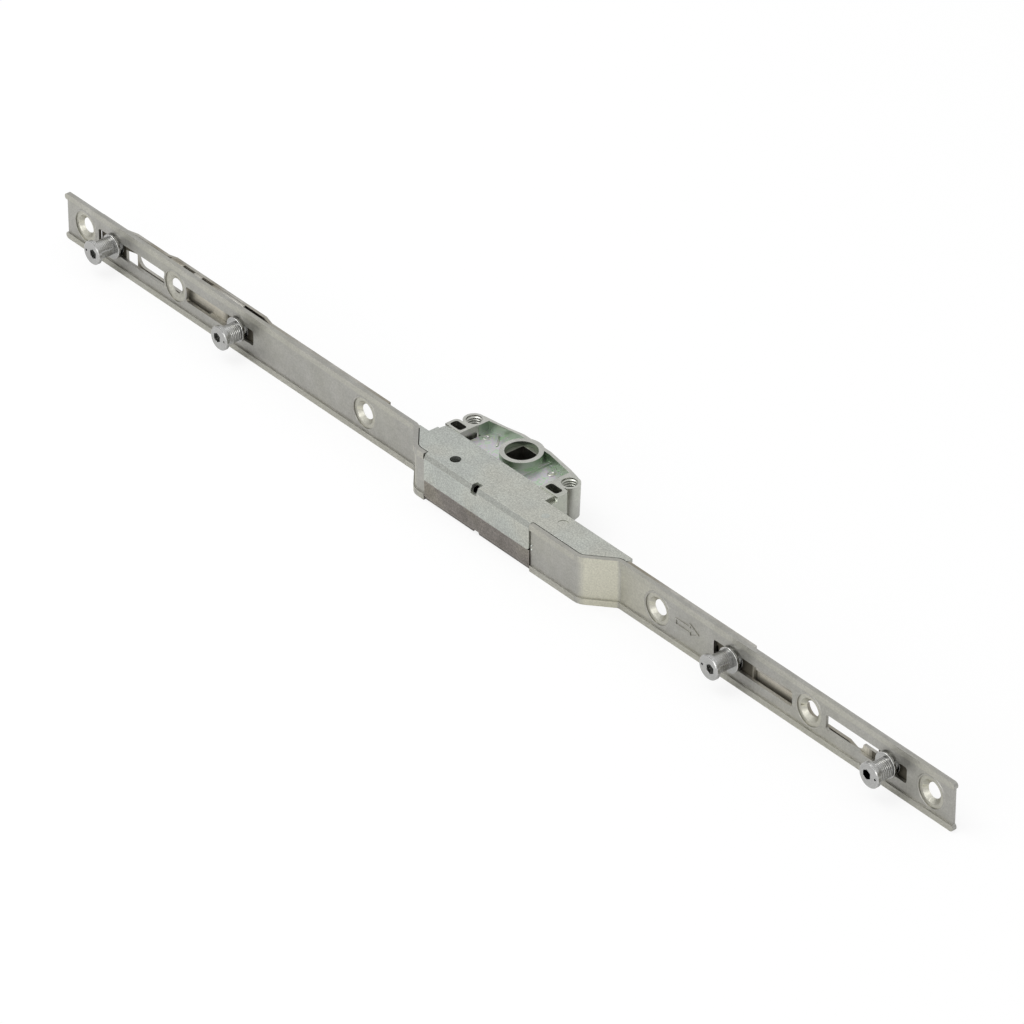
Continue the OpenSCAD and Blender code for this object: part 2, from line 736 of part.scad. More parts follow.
module rod_b_rivets() {
    color([0.6, 0.6, 0.6]) for (x = rivet_b_x)
        bar(x, rivet_b_z, lay1[0], lay1[1] + 1.8, rivet_b_r);
}

// Bush that is riveted into a rod and slides in the faceplate's slot
module cam_bush(i) {
    x = pivot_x(i);
    color([0.74, 0.75, 0.74]) difference() {
        union() {
            bar(x, 0, lay1[0], lay1[1], flange_d / 2 - 0.5);
            bar(x, 0, lay1[1] - eps, backset, slot_h / 2 - 0.1);
            bar(x, 0, web_front + slide_gap, backset, flange_d / 2 - 0.5);
            bar(x, 0, backset - eps, backset + 0.7, flange_d / 2);
        }
        bar(x, 0, lay1[0] - 1, backset + 2, 1.6 + run_gap);
        bar(x, 0, lay1[0] - 1, lay1[0] + 0.75, 2.4);
    }
}

// Eccentric cam that turns in its bush
module cam_pin(i) {
    x = pivot_x(i);
    head_x = cam_x[i];
    base = backset + 0.7 + slide_gap;
    top = backset + cam_h;
    chamfer = 0.25;
    socket_r = 1.65;
    color([0.8, 0.81, 0.8]) difference() {
        union() {
            bar(x, 0, lay1[0] + 0.1, lay1[0] + 0.7, 2.3);
            bar(x, 0, lay1[0] + 0.6, base + eps, 1.6);
            bar(head_x, 0, base, top - cam_head_t + eps, cam_neck_d / 2);
            bar(head_x, 0, top - cam_head_t, top - chamfer, cam_head_d / 2);
            translate([head_x, -top + chamfer + eps, 0]) rotate([90, 0, 0])
                cylinder(h = chamfer + eps, r1 = cam_head_d / 2, r2 = cam_head_d / 2 - chamfer);
        }
        translate([x, -top + 2.4, 0]) rotate([90, 30, 0]) cylinder(h = 4, r = socket_r, $fn = 6);
        bar(head_x - throw_dir(i) * cam_head_d * 0.33, 0, top - 0.3, top + 1, 0.4);
    }
}

faceplate_left();
faceplate_right();
top_shell();
lower_shell();
gearbox_housing();
bottom_cover();
spacer_post();
pinion_axle();
shell_rivets();
cover_rivets();
spindle_nut();
reversing_pinion();
drive_rod_a_left();
drive_rod_a_right();
rack_a();
rod_a_rivets();
drive_rod_b();
rack_b();
rod_b_rivets();
cam_bush(0);  // cam_bush_1
cam_bush(1);  // cam_bush_2
cam_bush(2);  // cam_bush_3
cam_bush(3);  // cam_bush_4
cam_pin(0);  // cam_pin_1
cam_pin(1);  // cam_pin_2
cam_pin(2);  // cam_pin_3
cam_pin(3);  // cam_pin_4
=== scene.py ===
"""Looks of the window espagnolette: plated strip, pressed shells, a die casting and bright cams."""
import json
import math
import bmesh
import bpy
from mathutils import Matrix, Vector


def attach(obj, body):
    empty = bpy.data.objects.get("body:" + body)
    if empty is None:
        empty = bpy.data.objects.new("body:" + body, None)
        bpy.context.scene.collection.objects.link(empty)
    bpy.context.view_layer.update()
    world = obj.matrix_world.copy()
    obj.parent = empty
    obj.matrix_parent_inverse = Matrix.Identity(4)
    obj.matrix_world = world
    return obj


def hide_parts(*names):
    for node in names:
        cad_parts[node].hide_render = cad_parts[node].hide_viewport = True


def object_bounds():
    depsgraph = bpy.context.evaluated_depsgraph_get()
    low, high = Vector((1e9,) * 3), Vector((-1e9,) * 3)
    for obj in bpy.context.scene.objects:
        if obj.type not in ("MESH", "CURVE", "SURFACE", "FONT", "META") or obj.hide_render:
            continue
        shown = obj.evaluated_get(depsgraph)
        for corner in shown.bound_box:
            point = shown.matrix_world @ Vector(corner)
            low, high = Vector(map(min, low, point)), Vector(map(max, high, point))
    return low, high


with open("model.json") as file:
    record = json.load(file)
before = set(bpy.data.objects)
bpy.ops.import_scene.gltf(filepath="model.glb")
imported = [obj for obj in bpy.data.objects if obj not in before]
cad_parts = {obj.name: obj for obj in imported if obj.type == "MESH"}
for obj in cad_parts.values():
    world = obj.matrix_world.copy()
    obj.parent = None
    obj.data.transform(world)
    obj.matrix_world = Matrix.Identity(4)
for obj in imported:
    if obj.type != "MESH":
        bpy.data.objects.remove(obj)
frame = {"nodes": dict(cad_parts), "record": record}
cad_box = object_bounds()

MM = 0.001
scene = bpy.context.scene

# Sizes of the part that the looks depend on, in millimetres

# Cranked strip: its web lies a little behind the beads along its edges
PLATE_TOP = 8.0
BEAD_H = 2.0
BACKSET = 15.0
WEB_SUNK = 0.5
RAISED = 22.5
SCREW_X = (-190.5, -145.5, -54.5, 77.0, 141.0, 190.5)
TONGUE_SCREW = -145.5
DISH_R = 5.2
CAM_X = {1: -177.0, 2: -114.0, 3: 107.8, 4: 174.1}

# Front wall of the upper casing
WALL_END = 30.2
WALL_FOOT = -1.0
FOOT_ROUND = 3.0

# Die casting
BOSS_X = 21.5
THREAD_CORE = 2.1
RECESS_X = (-18.2, 17.6)
RECESS_FLOOR = 5.3
RIM = 8.3


# Shader nodes

def rgb(r, g, b):
    """Linear colour from the 0 to 255 values that it shows as on screen."""
    def linear(c):
        c = c / 255
        return c / 12.92 if c <= 0.04045 else ((c + 0.055) / 1.055) ** 2.4
    return (linear(r), linear(g), linear(b), 1.0)


def add(nodes, kind, label, **settings):
    """A shader node with its settings; the names of its inputs' constants start with in_."""
    node = nodes.new(kind)
    node.label = label
    for key, value in settings.items():
        if key.startswith("in_"):
            node.inputs[key[3:].replace("_", " ")].default_value = value
        else:
            setattr(node, key, value)
    return node


def mix_colour(nodes, link, fac, a, b, label, blend="MIX"):
    """Mix node; a and b are colours or sockets, and fac a number or a socket."""
    node = add(nodes, "ShaderNodeMix", label, data_type="RGBA", blend_type=blend)
    for socket, value in ((node.inputs[0], fac), (node.inputs[6], a), (node.inputs[7], b)):
        if isinstance(value, (int, float, tuple)):
            socket.default_value = value
        else:
            link(value, socket)
    return node.outputs[2]


def spread(nodes, link, value, low, high, to_low, to_high, label):
    """Map Range from low..high of a socket to the two values."""
    node = add(nodes, "ShaderNodeMapRange", label, clamp=True, in_From_Min=low, in_From_Max=high,
               in_To_Min=to_low, in_To_Max=to_high)
    link(value, node.inputs["Value"])
    return node.outputs[0]


def face_share(nodes, mark, label):
    """The share that the mesh gives each face under a mark."""
    return add(nodes, "ShaderNodeAttribute", label, attribute_name=mark).outputs["Fac"]


# Effects that several finishes use

FLOAT = "NodeSocketFloat"
VECTOR = "NodeSocketVector"


def group(name, inputs, outputs):
    """An empty shader node group with named sockets."""
    tree = bpy.data.node_groups.new(name, "ShaderNodeTree")
    for label, kind, value in inputs:
        socket = tree.interface.new_socket(label, in_out="INPUT", socket_type=kind)
        if value is not None:
            socket.default_value = value
    for label, kind in outputs:
        tree.interface.new_socket(label, in_out="OUTPUT", socket_type=kind)
    enter = tree.nodes.new("NodeGroupInput")
    leave = tree.nodes.new("NodeGroupOutput")
    return tree, enter, leave


def make_rolled_grain():
    """Fine lines that rolling leaves along the strip, with a broad unevenness of the plating."""
    tree, enter, leave = group(
        "rolled_grain",
        [("Place", VECTOR, None), ("Fineness", FLOAT, 1.0)],
        [("Lines", FLOAT), ("Cloud", FLOAT), ("Specks", FLOAT), ("Patches", FLOAT)],
    )
    nodes, link = tree.nodes, tree.links.new
    fine = add(nodes, "ShaderNodeVectorMath", "fineness", operation="SCALE")
    link(enter.outputs["Place"], fine.inputs[0])
    link(enter.outputs["Fineness"], fine.inputs["Scale"])
    stretch = add(nodes, "ShaderNodeMapping", "stretched along the strip", in_Scale=(90, 2400, 2400))
    link(fine.outputs[0], stretch.inputs["Vector"])
    place = enter.outputs["Place"]
    for name, where, scale, detail, roughness in (
            ("Lines", stretch.outputs[0], 1.0, 4.0, 0.65),
            ("Cloud", place, 140.0, 5.0, 0.6),
            ("Specks", place, 2100.0, 2.0, 0.7),
            ("Patches", place, 45.0, 2.0, 0.5)):
        noise = add(nodes, "ShaderNodeTexNoise", name.lower(), in_Scale=scale, in_Detail=detail,
                    in_Roughness=roughness)
        link(where, noise.inputs["Vector"])
        link(noise.outputs["Fac"], leave.inputs[name])
    return tree


def make_edge_wear_and_sheen():
    """Mask of the rounded edges, which get a painted highlight, a little uneven as where the plating is
    rubbed bright in places.
    """
    tree, enter, leave = group(
        "edge_wear_and_sheen",
        [("Place", VECTOR, None), ("Rounded", FLOAT, 0.0), ("Least", FLOAT, 0.85)],
        [("Mask", FLOAT)],
    )
    nodes, link = tree.nodes, tree.links.new
    uneven = add(nodes, "ShaderNodeTexNoise", "uneven rubbing", in_Scale=260.0, in_Detail=3.0)
    link(enter.outputs["Place"], uneven.inputs["Vector"])
    amount = add(nodes, "ShaderNodeMapRange", "amount", clamp=True, in_From_Min=0.35, in_From_Max=0.65)
    link(uneven.outputs["Fac"], amount.inputs["Value"])
    link(enter.outputs["Least"], amount.inputs["To Min"])
    rubbed = add(nodes, "ShaderNodeMath", "rubbed", operation="MULTIPLY")
    link(amount.outputs[0], rubbed.inputs[0])
    link(enter.outputs["Rounded"], rubbed.inputs[1])
    link(rubbed.outputs[0], leave.inputs["Mask"])
    return tree


GRAIN = make_rolled_grain()
EDGE_WEAR_AND_SHEEN = make_edge_wear_and_sheen()


def place_group(nodes, tree, label, **values):
    """A node group placed in a material, with the values of its inputs."""
    node = nodes.new("ShaderNodeGroup")
    node.node_tree = tree
    node.label = label
    for key, value in values.items():
        node.inputs[key].default_value = value
    return node


# Finishes

def plated_metal(name, light, dark, rough, lines=0.06, bump=0.05, fineness=1.0, edge=1.25,
                 tint=None, tint_share=0.35, marked=None, marked_rough=0.1, sparkle=0.1):
    """Zinc-plated metal: two tones, a tint in patches, rolling lines, specks and a lighter colour on the
    rounded edges, partly rubbed plating and partly a painted highlight.

    Faces that the mesh marks take the colour marked, and marked_rough is added to their roughness. On
    the strip, the rods' fronts and the casting's rim tops the mark is painted light; on the fold of the
    upper casing it is the fold's own darker finish."""
    mat = bpy.data.materials.new(name)
    mat.use_nodes = True
    nodes, link = mat.node_tree.nodes, mat.node_tree.links.new
    shader = nodes["Principled BSDF"]
    shader.inputs["Metallic"].default_value = 1.0
    where = add(nodes, "ShaderNodeTexCoord", "object place")
    grain = place_group(nodes, GRAIN, "rolling lines", Fineness=fineness)
    link(where.outputs["Object"], grain.inputs["Place"])

    tone = spread(nodes, link, grain.outputs["Cloud"], 0.35, 0.65, 0.0, 1.0, "tone")
    base = mix_colour(nodes, link, tone, dark, light, "plating")
    polish = spread(nodes, link, grain.outputs["Lines"], 0.3, 0.7, rough - 0.05, rough + 0.05,
                    "roughness")
    if tint:
        patch = spread(nodes, link, grain.outputs["Patches"], 0.48, 0.66, 0.0, tint_share, "patches")
        base = mix_colour(nodes, link, patch, base, tint, "tinted passivation")
    if marked:
        worked_and_painted_light = face_share(nodes, "worked_and_painted_light", "worked faces")
        base = mix_colour(nodes, link, worked_and_painted_light, base, marked, "worked_and_painted_light")
        other = add(nodes, "ShaderNodeMath", "other roughness where worked", operation="MULTIPLY_ADD")
        link(worked_and_painted_light, other.inputs[0])
        other.inputs[1].default_value = marked_rough
        link(polish, other.inputs[2])
        polish = other.outputs[0]
    link(polish, shader.inputs["Roughness"])

    for pattern, share, label in (("Lines", lines, "streaks"), ("Specks", sparkle, "fine specks")):
        shade = spread(nodes, link, grain.outputs[pattern], 0.3, 0.7, 1.0 - share, 1.0 + share, label)
        base = mix_colour(nodes, link, 1.0, base, shade, "with " + label, "MULTIPLY")
    # Painted highlight: the rounded edges take a lighter copy of the light tone, unevenly as if rubbed.
    wear_and_sheen = place_group(nodes, EDGE_WEAR_AND_SHEEN, "edges rubbed and painted bright")
    link(where.outputs["Object"], wear_and_sheen.inputs["Place"])
    link(face_share(nodes, "rounded", "rounded edges"), wear_and_sheen.inputs["Rounded"])
    bright = tuple(min(1.0, c * edge) for c in light[:3]) + (1.0,)
    link(mix_colour(nodes, link, wear_and_sheen.outputs["Mask"], base, bright, "edges with painted highlight"),
         shader.inputs["Base Color"])

    height = add(nodes, "ShaderNodeMath", "surface", operation="ADD")
    link(grain.outputs["Lines"], height.inputs[0])
    link(grain.outputs["Specks"], height.inputs[1])
    relief = add(nodes, "ShaderNodeBump", "relief", in_Strength=bump, in_Distance=0.0002)
    link(height.outputs[0], relief.inputs["Height"])
    link(relief.outputs[0], shader.inputs["Normal"])
    return mat


def lay_over(mat, mark, colour, label):
    """Lays a colour, or the colour of a socket, over the faces that the mesh marks."""
    nodes, link = mat.node_tree.nodes, mat.node_tree.links.new
    base = nodes["Principled BSDF"].inputs["Base Color"]
    share = face_share(nodes, mark, label)
    link(mix_colour(nodes, link, share, base.links[0].from_socket, colour, label), base)


def cast_metal():
    """Passivated die casting: grey rims whose flat tops get a painted highlight, green walls and a
    recess floor with a coloured film.
    """
    mat = plated_metal("casting", rgb(196, 196, 190), rgb(178, 179, 172), 0.32, lines=0.02, bump=0.12,
                       fineness=0.7, edge=1.4, tint=rgb(182, 190, 172), tint_share=0.4,
                       marked=rgb(222, 222, 216), marked_rough=-0.06)
    nodes, link = mat.node_tree.nodes, mat.node_tree.links.new
    where = add(nodes, "ShaderNodeTexCoord", "object place")
    film = add(nodes, "ShaderNodeTexNoise", "film thickness", in_Scale=420.0, in_Detail=3.0,
               in_Distortion=1.2)
    link(where.outputs["Object"], film.inputs["Vector"])
    hues = add(nodes, "ShaderNodeValToRGB", "film colours")
    steps = hues.color_ramp.elements
    steps[0].position, steps[0].color = 0.3, rgb(186, 212, 184)
    steps[1].position, steps[1].color = 0.7, rgb(216, 214, 194)
    for place, colour in ((0.44, rgb(214, 220, 212)), (0.51, rgb(220, 204, 220)),
                          (0.58, rgb(206, 210, 216))):
        steps.new(place).color = colour
    link(film.outputs["Fac"], hues.inputs["Fac"])
    lay_over(mat, "floor", hues.outputs["Color"], "filmed floor")
    lay_over(mat, "wall", rgb(164, 180, 160), "green walls")
    return mat


def rod_metal():
    """Plating of the rods, with fronts painted paler as painted light, and dark lubricant with painted
    shade beside the cams.
    """
    mat = plated_metal("rod_plating", rgb(192, 190, 183), rgb(172, 170, 163), 0.42, lines=0.08,
                       bump=0.1, fineness=0.8, edge=1.3, tint=rgb(132, 123, 104), tint_share=0.7,
                       marked=rgb(210, 205, 192), marked_rough=0.1)
    lay_over(mat, "grease_and_shade", rgb(92, 88, 78), "grease_and_painted_shade")
    return mat


# One finish for each material slot of the record
FINISH = {
    # The strip's marked colour is painted light on its cranks, beads and dishes.
    "faceplate_steel": plated_metal(
        "strip_plating", rgb(179, 178, 173), rgb(168, 167, 161), 0.4, lines=0.05, bump=0.06, edge=1.45,
        tint=rgb(180, 179, 168), tint_share=0.4, marked=rgb(203, 201, 186), marked_rough=0.0,
        sparkle=0.12),
    "shell_steel": plated_metal(
        "shell_plating", rgb(192, 196, 190), rgb(184, 187, 182), 0.46, lines=0.03, bump=0.05, edge=1.2,
        tint=rgb(198, 195, 182), tint_share=0.4, marked=rgb(172, 174, 168), marked_rough=0.12,
        sparkle=0.25),
    "lower_shell_steel": plated_metal(
        "lower_plating", rgb(144, 139, 134), rgb(124, 119, 114), 0.5, lines=0.1, bump=0.3,
        fineness=0.5, edge=1.5, tint=rgb(158, 153, 136), tint_share=0.5, sparkle=0.3),
    "rivet_steel": plated_metal(
        "rivet_plating", rgb(192, 196, 190), rgb(184, 187, 182), 0.46, lines=0.03, bump=0.05),
    "gear_steel": plated_metal("gear_steel", rgb(150, 148, 142), rgb(120, 118, 112), 0.38),
    "rod_steel": rod_metal(),
    "cam_steel": plated_metal(
        "cam_plating", rgb(189, 189, 187), rgb(175, 175, 173), 0.24, lines=0.03, bump=0.03, edge=1.5),
    "die_casting": cast_metal(),
}
SLOT_OF = {part["node"]: part["material_slot"] for part in frame["record"]["subparts"]}


def dress(obj, slot_name):
    """Gives an object the finish of a slot."""
    obj.data.materials.clear()
    obj.data.materials.append(FINISH[slot_name])


for node_name, node_obj in frame["nodes"].items():
    dress(node_obj, SLOT_OF[node_name])


# Softened copies of CAD nodes: the same shape with its doubles merged and its edges rounded

SHARP = 24.0
SHARP_AFTER = 45.0


def add_object(name, bm):
    """A scene object from a finished bmesh."""
    mesh = bpy.data.meshes.new(name)
    bm.to_mesh(mesh)
    bm.free()
    obj = bpy.data.objects.new(name, mesh)
    scene.collection.objects.link(obj)
    return obj


def add_shaded(name, bm, sharp):
    """The same, shaded smooth between the edges that turn by more than sharp degrees."""
    for face in bm.faces:
        face.smooth = True
    obj = add_object(name, bm)
    obj.data.set_sharp_from_angle(angle=math.radians(sharp))
    return obj


def rounded_mesh(obj, radius, segments):
    """The object's mesh with its weighted edges rounded; the new faces are marked "rounded"."""
    new_slot = 1
    bevel = obj.modifiers.new("rounded_edges", "BEVEL")
    bevel.limit_method = "WEIGHT"
    bevel.width = radius * MM
    bevel.segments = segments
    bevel.material = new_slot
    for slot in range(new_slot + 1):
        obj.data.materials.append(FINISH["faceplate_steel"])
    bpy.context.view_layer.update()
    mesh = bpy.data.meshes.new_from_object(obj.evaluated_get(bpy.context.evaluated_depsgraph_get()))
    obj.modifiers.clear()
    kept = [edge.use_edge_sharp for edge in mesh.edges]
    mesh.set_sharp_from_angle(angle=math.radians(SHARP_AFTER))
    for edge, was_sharp in zip(mesh.edges, kept):
        edge.use_edge_sharp = edge.use_edge_sharp or was_sharp
    new = [float(face.material_index == new_slot) for face in mesh.polygons]
    mesh.attributes.new("rounded", "FLOAT", "FACE").data.foreach_set("value", new)
    mesh.polygons.foreach_set("material_index", [0] * len(new))
    return mesh


def softened(node, name, body, radius, rule=None, segments=3, shape=None, marks=None):
    """A copy of a CAD node whose outer edges are rounded.

    rule gives the share of the radius at an edge's middle, shape changes the mesh first, and
    marks names the masks that the finish reads, each with a function for a face's share."""
    bm = bmesh.new()
    bm.from_mesh(frame["nodes"][node].data)
    bmesh.ops.remove_doubles(bm, verts=bm.verts, dist=0.002 * MM)
    bmesh.ops.dissolve_limit(bm, angle_limit=math.radians(0.5), verts=bm.verts, edges=bm.edges)
    if shape:
        shape(bm)
    bm.normal_update()
    weight = bm.edges.layers.float.new("bevel_weight_edge")
    for edge in bm.edges:
        if len(edge.link_faces) == 2 and edge.is_convex and edge.calc_face_angle() > math.radians(SHARP):
            middle = (edge.verts[0].co + edge.verts[1].co) / 2 / MM
            edge[weight] = rule(middle) if rule else 1.0
    for mark, share in (marks or {}).items():
        layer = bm.faces.layers.float.new(mark)
        for face in bm.faces:
            face[layer] = float(share(face.calc_center_median() / MM, face))
    obj = add_shaded(name, bm, SHARP)
    obj.data = rounded_mesh(obj, radius, segments)
    flats = obj.modifiers.new("flat_faces", "WEIGHTED_NORMAL")
    flats.keep_sharp = True
    flats.weight = 100
    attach(obj, body)
    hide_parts(node)
    dress(obj, SLOT_OF[node])


# Strip: pressed cones in the screw holes; beads, cranks and dishes get painted light, a little brighter
# than the web

# Radius and depth of each ring of a cone; a level cone ends level with the strip's back
CONE_MOUTH = (3.75, 14.22)
CONE_TIP, CONE_BACK = (2.45, 13.0), (3.1, 13.5)
LEVEL_TIP, LEVEL_BACK = (2.45, 13.6), (2.52, 13.5)


def press_cones(bm):
    """Draws each screw hole into a pressed cone that ends behind the strip.

    The cone that the lower rod's tongue passes ends level with the back instead."""
    nearest, mouth_from, farthest, tip_from = 1.0, 3.5, 4.4, 13.65
    for vert in bm.verts:
        x, depth, z = vert.co.x / MM, -vert.co.y / MM, vert.co.z / MM
        for hole in SCREW_X:
            r = math.hypot(x - hole, z)
            if r > farthest or r < nearest:
                continue
            level = hole == TONGUE_SCREW
            if r > mouth_from:
                new_r, new_depth = CONE_MOUTH
            elif depth > tip_from:
                new_r, new_depth = LEVEL_TIP if level else CONE_TIP
            else:
                new_r, new_depth = LEVEL_BACK if level else CONE_BACK
            vert.co = Vector((hole + (x - hole) * new_r / r, -new_depth, z * new_r / r)) * MM


def in_dish(place):
    """Whether a place lies in the dish of a screw hole."""
    return min(math.hypot(place.x - x, place.z) for x in SCREW_X) < DISH_R + 0.1


def strip_edge(middle):
    """Outer edges of the strip get the whole radius, dishes most of it, and slots a part."""
    if abs(abs(middle.z) - PLATE_TOP) < 0.01:
        return 1.0
    return 0.75 if in_dish(middle) else 0.5


def strip_painted_light(centre, face):
    """Share of painted light on a face of the strip: whole on the cranks, less on beads and dishes."""
    crank_slant = 0.64
    slant = abs(face.normal.x) if abs(face.normal.z) < 0.1 and face.normal.y < -0.3 else 0.0
    if 0.05 < slant < 0.9:
        return min(1.0, (slant / crank_slant) ** 2)
    if face.normal.y < -0.3 and in_dish(centre):
        return 0.45
    on_bead = face.normal.y < -0.9 and abs(centre.z) > PLATE_TOP - BEAD_H - 0.1
    return 0.3 if on_bead else 0.0


# Casings: details that the press leaves crisper than the solids

def crisp_foot(bm):
    """Tightens the round at the foot of the front wall's right end."""
    crisp, front_skin = 1.0, 1.5
    old = Vector((WALL_END - FOOT_ROUND, 0, WALL_FOOT + FOOT_ROUND)) * MM
    new = Vector((WALL_END - crisp, 0, WALL_FOOT + crisp)) * MM
    for vert in bm.verts:
        arm = Vector((vert.co.x - old.x, 0, vert.co.z - old.z))
        if vert.co.y < (front_skin - RAISED) * MM and abs(arm.length - FOOT_ROUND * MM) < 0.02 * MM:
            arm *= crisp / FOOT_ROUND
            vert.co = Vector((new.x + arm.x, vert.co.y, new.z + arm.z))


def widen_notch(bm):
    """Opens the notch in the lower casing's front edge to its pressed width and height."""
    left, right, rise, front_skin = 4.5, 7.1, 0.4, 1.9
    for vert in bm.verts:
        x, y, z = vert.co / MM
        if y < front_skin - RAISED and 5.0 < x < 6.8 and z < -6.5:
            vert.co.x = (left if x < 5.9 else right) * MM
            if z > -7.5:
                vert.co.z += rise * MM


def on_fold(centre, face):
    """Flat fold along the front of the upper casing."""
    return centre.y < -RAISED + 1 and 0.2 < face.normal.z < 0.97


# Die casting: threads, recess and rims

THREAD_ROOT = 2.45


def widen_threads(bm):
    """Opens the two screw holes from the thread's core to its root, where the coil sits."""
    for vert in bm.verts:
        for side in (-1, 1):
            axis = Vector((side * BOSS_X * MM, 0, vert.co.z))
            arm = vert.co - axis
            if abs(arm.length - THREAD_CORE * MM) < 0.03 * MM:
                vert.co = axis + arm * (THREAD_ROOT / THREAD_CORE)


def collar_edge(middle):
    """The collar's rim is rounded most."""
    return 1.0 if math.hypot(middle.x, middle.y) < 7 and middle.z > RIM - 0.1 else 0.63


def on_recess_floor(centre, face):
    """Floor of the recess, with the low steps on it."""
    return face.normal.z > 0.9 and RECESS_FLOOR - 0.1 < centre.z < RECESS_FLOOR + 0.7


def on_recess_wall(centre, face):
    """Upright walls that stand round the recess."""
    low = min(v.co.z for v in face.verts) / MM
    inside = RECESS_X[0] - 0.1 < centre.x < RECESS_X[1] + 0.1 and centre.y < 5.0
    return inside and abs(face.normal.z) < 0.3 and low > RECESS_FLOOR - 0.2


def rim_top_painted_highlight(centre, face):
    """Flat top of the rims, which gets a painted highlight a little lighter than the rest."""
    return 0.35 if face.normal.z > 0.9 and centre.z > RIM - 0.1 else 0.0


# Rods: front faces that show through the slots, painted paler as painted light, with dark lubricant and
# painted shade that fade out beside each cam

GREASE_AND_SHADE_STEPS = (7.5, 8.5, 9.5, 10.5)
GREASE_AND_SHADE_FADE = 2.5


def split_at_cams(bm):
    """Divides a rod across at each step of the dark lubricant and painted shade, on both sides of the
    cams.
    """
    for cam_x in CAM_X.values():
        for reach in GREASE_AND_SHADE_STEPS:
            for side in (-1, 1):
                bmesh.ops.bisect_plane(bm, geom=bm.verts[:] + bm.edges[:] + bm.faces[:],
                                       plane_co=((cam_x + side * reach) * MM, 0, 0), plane_no=(1, 0, 0))


def grease_and_shade_beside_cam(centre, face):
    """Share of dark lubricant and painted shade on a rod's front face."""
    distance = min(abs(centre.x - x) for x in CAM_X.values())
    share = max(0.0, min(1.0, (GREASE_AND_SHADE_STEPS[-1] - distance) / GREASE_AND_SHADE_FADE))
    return share if face.normal.y < -0.9 else 0.0


def rod_front_painted_light(centre, face):
    """Front faces of a rod, which get painted light: a paler colour for the light that the slots keep
    off them.
    """
    return 0.85 if face.normal.y < -0.9 else 0.0


for side in ("left", "right"):
    softened("faceplate_" + side, "strip_" + side, "casing", 0.28, rule=strip_edge, segments=4,
             shape=press_cones, marks={"worked_and_painted_light": strip_painted_light})
softened("top_shell", "upper_casing", "casing", 0.14, shape=crisp_foot, marks={"worked_and_painted_light": on_fold})
softened("lower_shell", "lower_casing", "casing", 0.16, shape=widen_notch)
softened("gearbox_housing", "cast_housing", "casing", 0.35, rule=collar_edge, segments=4,
         shape=widen_threads,
         marks={"floor": on_recess_floor, "wall": on_recess_wall, "worked_and_painted_light": rim_top_painted_highlight})
softened("bottom_cover", "cover", "casing", 0.15)
softened("spindle_nut", "nut", "nut", 0.12)
for node, name, body in (("drive_rod_a_left", "rod_a_left", "rod_a"),
                         ("drive_rod_a_right", "rod_a_right", "rod_a"),
                         ("drive_rod_b", "rod_b", "rod_b")):
    softened(node, name, body, 0.1, shape=split_at_cams,
             marks={"worked_and_painted_light": rod_front_painted_light, "grease_and_shade": grease_and_shade_beside_cam})
for i in CAM_X:
    softened("cam_pin_%d" % i, "cam_%d" % i, "cam_%d" % i, 0.1)
    softened("cam_bush_%d" % i, "bush_%d" % i, "rod_a" if i % 2 else "rod_b", 0.1)


# Small turned and formed pieces

def placed(name, bm, body, slot_name, sharp=40.0):
    """A new piece from a finished bmesh, in the finish of a slot of the record."""
    bmesh.ops.recalc_face_normals(bm, faces=bm.faces)
    obj = add_shaded(name, bm, sharp)
    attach(obj, body)
    dress(obj, slot_name)


def closed_turning(bm, points, centre, axis, steps):
    """Turns a closed outline of (radius, along) points, in millimetres, round an axis."""
    along = Vector(axis)
    across = along.orthogonal().normalized()
    verts = [bm.verts.new((Vector(centre) + across * r + along * h) * MM) for r, h in points]
    edges = [bm.edges.new((verts[i], verts[(i + 1) % len(verts)])) for i in range(len(verts))]
    bmesh.ops.spin(bm, geom=verts + edges, cent=Vector(centre) * MM, axis=along,
                   angle=2 * math.pi, steps=steps, use_merge=True, use_duplicate=False)


def draw_out(bm, faces, step):
    """Extrudes faces by a step in metres."""
    risen = bmesh.ops.extrude_face_region(bm, geom=faces)["geom"]
    bmesh.ops.translate(bm, verts=[g for g in risen if isinstance(g, bmesh.types.BMVert)], vec=step)


def round_off(bm, edges, radius):
    """Rounds edges by a radius in millimetres."""
    bmesh.ops.bevel(bm, geom=edges, offset=radius * MM, affect="EDGES", segments=3, profile=0.5,
                    material=-1)


def make_threads():
    """Thread in each handle screw boss, as a coil of one pitch per turn."""
    pitch, turns, steps = 0.8, 13, 20
    top = RIM - 0.55
    buried, crest, foot = THREAD_ROOT + 0.05, 0.06, 0.36
    profile = [(buried, -foot), (THREAD_CORE, -crest), (THREAD_CORE, crest), (buried, foot)]
    for side, name in ((-1, "left"), (1, "right")):
        bm = bmesh.new()
        x = side * BOSS_X
        verts = [bm.verts.new((Vector((x + r, 0, top + h)) * MM)) for r, h in profile]
        edges = [bm.edges.new((verts[i], verts[(i + 1) % 4])) for i in range(4)]
        ends = bmesh.ops.spin(bm, geom=verts + edges, cent=Vector((x, 0, 0)) * MM, axis=(0, 0, 1),
                              dvec=Vector((0, 0, -pitch / steps)) * MM,
                              angle=2 * math.pi * turns, steps=steps * turns)
        bm.faces.new(verts)
        bm.faces.new([g for g in ends["geom_last"] if isinstance(g, bmesh.types.BMVert)])
        placed("thread_" + name, bm, "casing", "die_casting")


